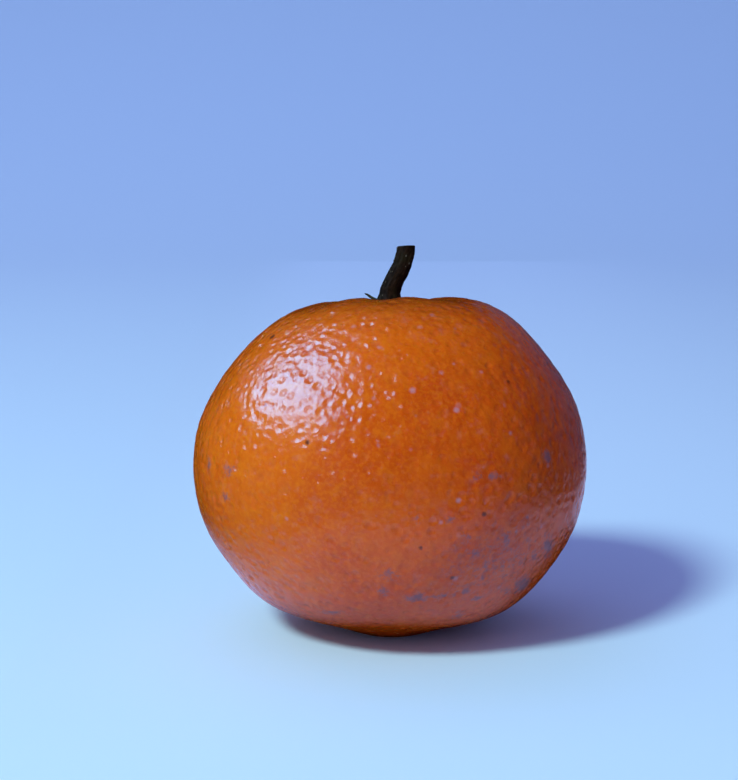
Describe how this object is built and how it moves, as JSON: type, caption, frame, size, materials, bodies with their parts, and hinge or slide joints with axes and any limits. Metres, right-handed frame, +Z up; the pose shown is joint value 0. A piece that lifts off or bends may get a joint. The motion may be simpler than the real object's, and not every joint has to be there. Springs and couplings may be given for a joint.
{
  "type": "orange",
  "caption": "Whole mandarin-type orange, slightly flattened, with a dimpled stem end, a star-shaped calyx and a short cut stem; rests on a small flat spot.",
  "frame": {"origin": "on the surface that the fruit rests on, straight below the middle of the fruit", "axes": "+Z is up and -Y is the front; the fruit's own axis, from style end to stem, leans back 10 degrees from +Z towards +Y"},
  "size_m": [0.075, 0.0735, 0.0727],
  "materials": {
    "peel": "waxy citrus peel, semi-gloss with fine oil-gland pits",
    "sepal": "dry, dark green-brown sepals, matt",
    "bark": "dark woody twig, matt and finely ridged"
  },
  "bodies": {
    "root": {"fruit": "peel", "calyx": "sepal", "stem": "bark"}
  },
  "joints": []
}
